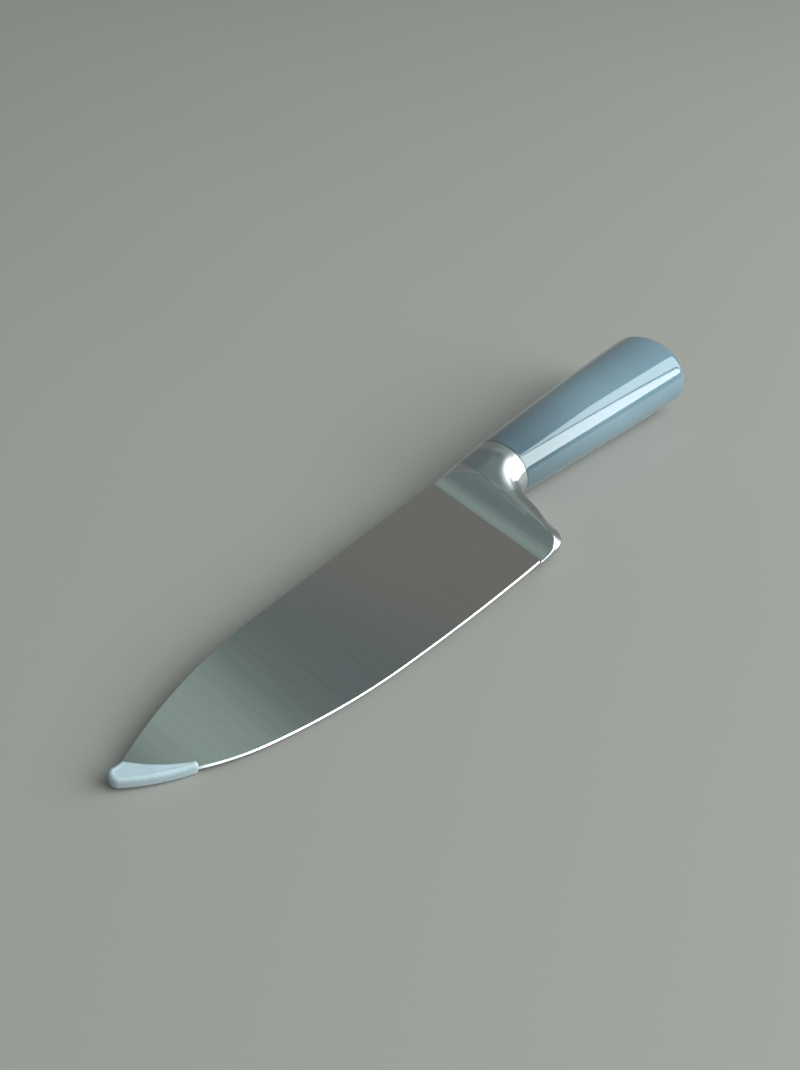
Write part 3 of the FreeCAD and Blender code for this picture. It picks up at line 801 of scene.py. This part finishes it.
def guard_silicone():
    """Soft milky silicone: pale, a little see-through, with a fine matt skin."""
    material, tree, shader, coordinates = new_material("guard_silicone")
    skin = noise(tree, coordinates, (1, 1, 1), 2500.0, detail=3.0)
    cloud = noise(tree, coordinates, (1, 1, 1), 220.0)
    tree.links.new(tint(tree, cloud, (0.52, 0.63, 0.67), (0.58, 0.69, 0.73)), shader.inputs["Base Color"])
    tree.links.new(ramp(tree, skin, 0.34, 0.46), shader.inputs["Roughness"])
    shader.inputs["Subsurface Weight"].default_value = 0.35
    shader.inputs["Subsurface Radius"].default_value = (0.0012, 0.0014, 0.0016)
    shader.inputs["Subsurface Scale"].default_value = 1.0
    add_bump(tree, shader, [skin], 0.00005, 0.12)
    return material


def floor_material():
    material, tree, shader, coordinates = new_material("floor_pale")
    cloud = noise(tree, coordinates, (1, 1, 1), 2.0)
    tree.links.new(tint(tree, cloud, (0.415, 0.395, 0.36), (0.43, 0.41, 0.375)), shader.inputs["Base Color"])
    shader.inputs["Roughness"].default_value = 0.55
    return material


def dress_cad_node(node, material):
    """Gives a CAD node that stays as it is a better material."""
    mesh = frame["nodes"][node].data
    mesh.materials.clear()
    mesh.materials.append(material)


# ---------------------------------------------------------------- stage, light and camera

CAMERA_TARGET = (0.0030, -0.0234, 0.0)
CAMERA_DISTANCE = 0.3953
CAMERA_AZIMUTH = 126.67
CAMERA_ELEVATION = 37.15
CAMERA_ROLL = 3.26
CAMERA_LENS = 38.69

FLOOR_SIZE = 6.0
PANEL_DISTANCE = 1.6


def add_floor():
    low, _ = CAD_BOX
    half = FLOOR_SIZE / 2
    mesh = bpy.data.meshes.new("floor")
    corners = [(-half, -half, low.z), (half, -half, low.z), (half, half, low.z), (-half, half, low.z)]
    mesh.from_pydata(corners, [], [(0, 1, 2, 3)])
    mesh.materials.append(floor_material())
    floor = bpy.data.objects.new("floor", mesh)
    bpy.context.scene.collection.objects.link(floor)


def add_lamp(name, location, turn, size, radiance):
    """A rectangular area light of a given brightness, whatever its size."""
    light = bpy.data.lights.new(name, "AREA")
    light.shape = "RECTANGLE"
    light.size, light.size_y = size
    strongest = max(radiance)
    light.color = [value / strongest for value in radiance]
    light.energy = 4 * size[0] * size[1] * strongest
    lamp = bpy.data.objects.new(name, light)
    lamp.location = location
    lamp.rotation_euler = turn
    bpy.context.scene.collection.objects.link(lamp)


def add_panel(name, bearings, heights, radiance):
    """An upright lamp that fills a range of bearings and heights, as seen from the knife.

    Bearings run from +X round to +Y. Both are in degrees.
    """
    bearing = math.radians(sum(bearings) / 2)
    middle = Vector((math.cos(bearing), math.sin(bearing), 0))
    width = 2 * PANEL_DISTANCE * math.tan(math.radians(bearings[1] - bearings[0]) / 2)
    bottom, top = [PANEL_DISTANCE * math.tan(math.radians(height)) for height in heights]
    location = middle * PANEL_DISTANCE + Vector((0, 0, (top + bottom) / 2))
    turn = middle.to_track_quat("Z", "Y").to_euler()
    add_lamp(name, location, turn, (width, top - bottom), radiance)


def add_lights():
    """A tall window on the edge side of the knife, a ceiling that it lights, and a dim room."""
    add_panel("window_far", (142.6, 157.5), (11.5, 44), (2.3, 2.7, 2.85))
    add_panel("window_near", (86, 140.4), (11.5, 44), (3.9, 4.2, 4.3))
    add_panel("window_high", (72, 141), (45, 62), (2.3, 2.5, 2.55))
    add_lamp("skylight", (-0.15, 0.80, 2.2), (0, 0, 0), (1.3, 0.6), (1.7, 1.8, 1.8))
    add_panel("far_wall", (160, 245), (0.5, 56), (0.06, 0.03, 0.015))
    add_lamp("ceiling", (-0.76, -0.45, 2.2), (0, 0, 0), (0.36, 1.9), (0.185, 0.25, 0.21))
    add_lamp("ceiling_side", (0.56, -0.42, 2.2), (0, 0, 0), (0.8, 0.8), (0.07, 0.085, 0.08))
    world = bpy.data.worlds.new("room")
    world.use_nodes = True
    background = world.node_tree.nodes["Background"]
    background.inputs["Color"].default_value = (0.78, 0.97, 1.0, 1)
    background.inputs["Strength"].default_value = 0.19
    bpy.context.scene.world = world


def add_camera():
    data = bpy.data.cameras.new("camera")
    data.lens = CAMERA_LENS
    data.clip_start = 0.01
    data.clip_end = 20
    camera = bpy.data.objects.new("camera", data)
    turn = math.radians(CAMERA_AZIMUTH)
    lift = math.radians(CAMERA_ELEVATION)
    back = Vector((math.sin(turn) * math.cos(lift), -math.cos(turn) * math.cos(lift), math.sin(lift)))
    camera.location = Vector(CAMERA_TARGET) + back * CAMERA_DISTANCE
    look = (-back).to_track_quat("-Z", "Y")
    roll = Matrix.Rotation(math.radians(CAMERA_ROLL), 4, "Z")
    camera.rotation_euler = (look.to_matrix().to_4x4() @ roll).to_euler()
    bpy.context.scene.collection.objects.link(camera)
    bpy.context.scene.camera = camera


# ---------------------------------------------------------------- the scene


def main():
    bpy.context.scene.view_settings.view_transform = "Standard"
    add_camera()
    add_floor()
    add_lights()
    make_blade([blade_steel(), bevel_steel()])
    make_bolster(bolster_steel())
    make_handle(grip_plastic())
    make_guard(guard_silicone())
    dress_cad_node("tang", tang_steel())
    dress_cad_node("handle_core", core_plastic())
    bpy.context.view_layer.update()


main()
